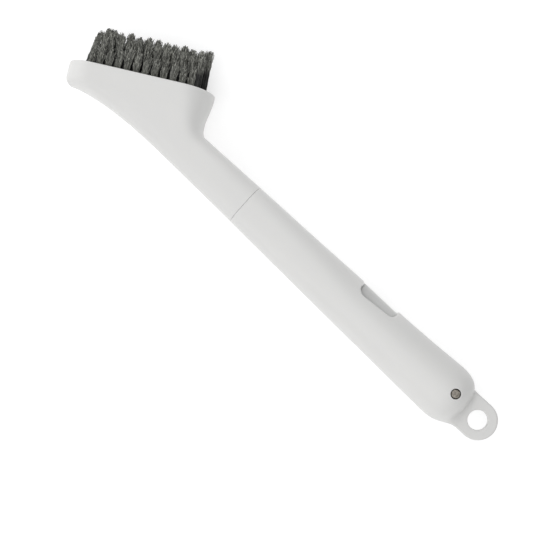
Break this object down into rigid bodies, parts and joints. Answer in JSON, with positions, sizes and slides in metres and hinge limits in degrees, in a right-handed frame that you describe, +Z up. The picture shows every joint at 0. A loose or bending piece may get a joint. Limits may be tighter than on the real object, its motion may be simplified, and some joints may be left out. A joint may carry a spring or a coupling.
{
  "type": "tank cleaning brush",
  "caption": "Hand brush with an oval bristle head set at an angle on a round handle, a crevice brush that folds out of the handle, and a hanging tab.",
  "frame": {"origin": "centre of the brush's overall box, on the surface that it lies on", "axes": "the brush lies on its side: +X from the head's toe to the hanging tab, +Y to the bristle side, +Z up out of the near side"},
  "size_m": [0.2244, 0.0503, 0.0238],
  "materials": {
    "head_plastic": "satin moulded",
    "handle_plastic": "satin moulded",
    "arm_plastic": "satin moulded",
    "bristle": "filament",
    "crevice_bristle": "filament",
    "pin_steel": "dull steel"
  },
  "bodies": {
    "brush": {"head_shell": "head_plastic", "bristle_row_far_outer": "bristle", "bristle_row_far_inner": "bristle", "bristle_row_centre": "bristle", "bristle_row_near_inner": "bristle", "bristle_row_near_outer": "bristle", "handle_body": "handle_plastic", "pivot_pin": "pin_steel"},
    "crevice_brush": {"crevice_arm": "arm_plastic", "crevice_bristles": "crevice_bristle"}
  },
  "joints": [
    {"name": "crevice_brush_fold", "type": "hinge", "parent": "brush", "child": "crevice_brush", "pos_m": [0.08996, -0.01169, 0.0119], "axis": [0, 0, -1], "range_deg": [0, 110]}
  ]
}
